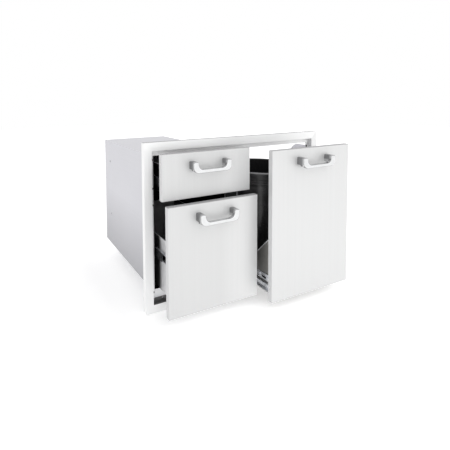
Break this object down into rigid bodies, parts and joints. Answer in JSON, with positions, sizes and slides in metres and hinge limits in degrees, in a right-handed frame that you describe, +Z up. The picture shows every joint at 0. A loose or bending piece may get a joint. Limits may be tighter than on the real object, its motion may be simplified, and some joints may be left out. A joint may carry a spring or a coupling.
{
  "type": "built-in pull-out waste bin and drawer unit",
  "caption": "Built-in stainless unit: stacked drawers beside a tall pull-out door carrying a round waste bin, in one trim frame.",
  "frame": {"origin": "middle of the trim frame's bottom edge, in the plane of the frame's back edge where it meets the wall", "axes": "+X to the right seen from the front, +Y into the cabinet, +Z up"},
  "size_m": [0.762, 0.72, 0.565],
  "materials": {
    "front_steel": "fine brushed, satin",
    "frame_steel": "fine brushed, satin",
    "sheet_steel": "mill finish sheet",
    "slide_steel": "zinc plated",
    "handle_chrome": "polished",
    "screw_steel": "zinc plated",
    "bin_plastic": "moulded, satin",
    "rubber": "matte"
  },
  "bodies": {
    "root": {"frame_top_rail": "frame_steel", "frame_bottom_rail": "frame_steel", "frame_left_stile": "frame_steel", "frame_right_stile": "frame_steel", "centre_mullion": "sheet_steel", "stop_bumpers": "rubber", "enclosure_left_side": "sheet_steel", "enclosure_right_side": "sheet_steel", "enclosure_top": "sheet_steel", "enclosure_floor": "sheet_steel", "enclosure_back": "sheet_steel", "enclosure_front_flange": "sheet_steel", "flange_screws": "screw_steel", "slide_brackets": "sheet_steel", "bracket_screws": "screw_steel", "top_drawer_slide_outers": "slide_steel", "lower_drawer_slide_outers": "slide_steel", "trash_slide_outers": "slide_steel", "trash_brace_left": "sheet_steel", "trash_brace_right": "sheet_steel", "trash_rear_crossmember": "sheet_steel", "rear_tie_plate": "sheet_steel"},
    "top_drawer": {"top_drawer_front_skin": "front_steel", "top_drawer_front_liner": "sheet_steel", "top_drawer_handle": "handle_chrome", "top_drawer_handle_screws": "screw_steel", "top_drawer_box_sides": "sheet_steel", "top_drawer_box_floor": "sheet_steel", "top_drawer_box_back": "sheet_steel", "top_drawer_box_front": "sheet_steel", "top_drawer_slide_inners": "slide_steel"},
    "lower_drawer": {"lower_drawer_front_skin": "front_steel", "lower_drawer_front_liner": "sheet_steel", "lower_drawer_handle": "handle_chrome", "lower_drawer_handle_screws": "screw_steel", "lower_drawer_box_sides": "sheet_steel", "lower_drawer_box_floor": "sheet_steel", "lower_drawer_box_back": "sheet_steel", "lower_drawer_box_front": "sheet_steel", "lower_drawer_slide_inners": "slide_steel"},
    "trash_carriage": {"trash_door_skin": "front_steel", "trash_door_liner": "sheet_steel", "trash_door_handle": "handle_chrome", "trash_door_handle_screws": "screw_steel", "trash_tray_left_side": "sheet_steel", "trash_tray_right_side": "sheet_steel", "trash_tray_floor": "sheet_steel", "trash_tray_back": "sheet_steel", "trash_tray_front": "sheet_steel", "trash_tray_screws": "screw_steel", "trash_slide_inners": "slide_steel"},
    "top_slide_middle": {"top_drawer_slide_middles": "slide_steel"},
    "lower_slide_middle": {"lower_drawer_slide_middles": "slide_steel"},
    "trash_slide_middle": {"trash_slide_middles": "slide_steel"},
    "bin": {"waste_bin": "bin_plastic"}
  },
  "joints": [
    {"name": "top_drawer_slide", "type": "slide", "parent": "root", "child": "top_drawer", "axis": [0, -1, 0], "range_m": [-0.062, 0.373]},
    {"name": "lower_drawer_slide", "type": "slide", "parent": "root", "child": "lower_drawer", "axis": [0, -1, 0], "range_m": [-0.101, 0.334]},
    {"name": "trash_slide", "type": "slide", "parent": "root", "child": "trash_carriage", "axis": [0, -1, 0], "range_m": [-0.165, 0.27]},
    {"name": "top_middle_slide", "type": "slide", "parent": "root", "child": "top_slide_middle", "axis": [0, -1, 0], "range_m": [-0.031, 0.1865]},
    {"name": "lower_middle_slide", "type": "slide", "parent": "root", "child": "lower_slide_middle", "axis": [0, -1, 0], "range_m": [-0.0505, 0.167]},
    {"name": "trash_middle_slide", "type": "slide", "parent": "root", "child": "trash_slide_middle", "axis": [0, -1, 0], "range_m": [-0.0825, 0.135]},
    {"name": "bin_lift", "type": "slide", "parent": "trash_carriage", "child": "bin", "axis": [0, 0, 1], "range_m": [0, 0.08]}
  ],
  "couplings": [
    {"joint": "top_middle_slide", "follows": "top_drawer_slide", "ratio": 0.5},
    {"joint": "lower_middle_slide", "follows": "lower_drawer_slide", "ratio": 0.5},
    {"joint": "trash_middle_slide", "follows": "trash_slide", "ratio": 0.5}
  ]
}
